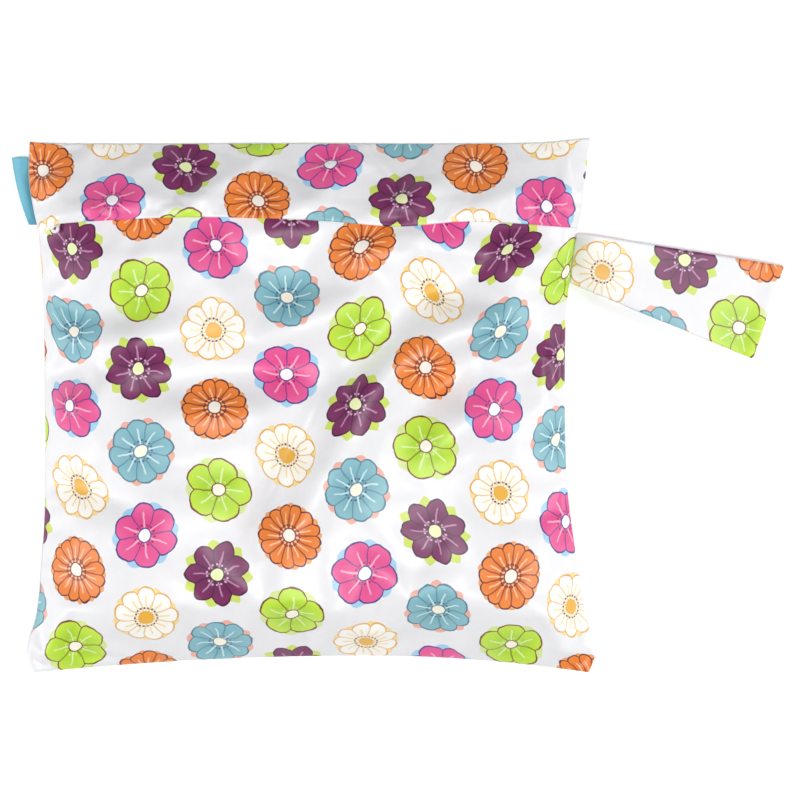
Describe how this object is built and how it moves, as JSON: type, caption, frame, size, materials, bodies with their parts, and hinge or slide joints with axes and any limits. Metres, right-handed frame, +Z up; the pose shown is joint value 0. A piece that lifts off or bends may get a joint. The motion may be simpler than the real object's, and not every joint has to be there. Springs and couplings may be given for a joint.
{
  "type": "waterproof zip bag",
  "caption": "Zipped waterproof cloth bag lying flat and softly swelled, with a band lapping over its zip, a folded hand strap in one side seam and a blank ribbon tab in the other.",
  "frame": {"origin": "under the middle of the bounding box, on the surface that the bag lies on", "axes": "+Z up off that surface through the bag's back and front, +Y towards the zipped top edge, +X towards the hand strap"},
  "size_m": [0.4316, 0.2982, 0.0406],
  "materials": {
    "printed_cloth": null,
    "zip_tape": "white woven polyester tape",
    "zip_nylon": "white nylon coil and white enamelled slider and pull",
    "tab_ribbon": "turquoise woven satin ribbon, left blank"
  },
  "bodies": {
    "root": {"back_panel": "printed_cloth", "front_panel": "printed_cloth", "top_band": "printed_cloth", "hand_strap": "printed_cloth", "zip_tape_lower": "zip_tape", "zip_tape_upper": "zip_tape", "zip_chain": "zip_nylon", "zip_slider": "zip_nylon", "zip_pull": "zip_nylon", "side_tab": "tab_ribbon"}
  },
  "joints": []
}
